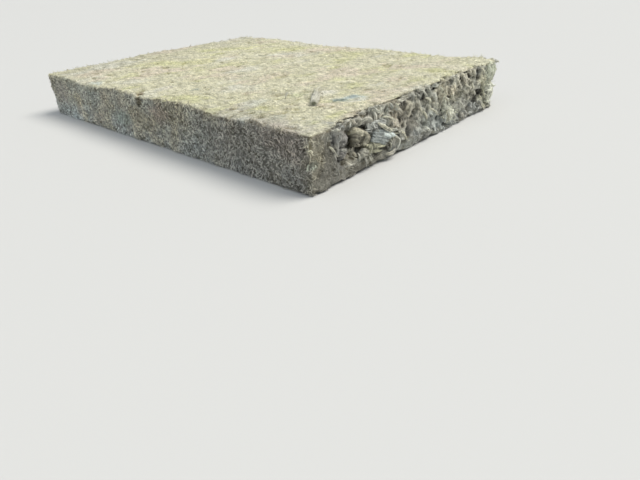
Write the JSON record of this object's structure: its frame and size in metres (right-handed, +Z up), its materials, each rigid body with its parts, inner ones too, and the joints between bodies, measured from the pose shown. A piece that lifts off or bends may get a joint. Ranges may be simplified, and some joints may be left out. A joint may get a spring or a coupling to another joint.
{
  "type": "mineral wool insulation batt",
  "caption": "Thick rectangular mineral wool insulation batt lying flat, cut short, with one end roughly torn across after a knife score.",
  "frame": {"origin": "centre of the underside of the batt's bounding box", "axes": "+X along the batt's length towards the torn end, +Y across its width away from the front long side, +Z up through its thickness"},
  "size_m": [0.79, 0.584, 0.0978],
  "materials": {
    "mineral_wool": "matte"
  },
  "bodies": {
    "root": {"batt": "mineral_wool"}
  },
  "joints": []
}
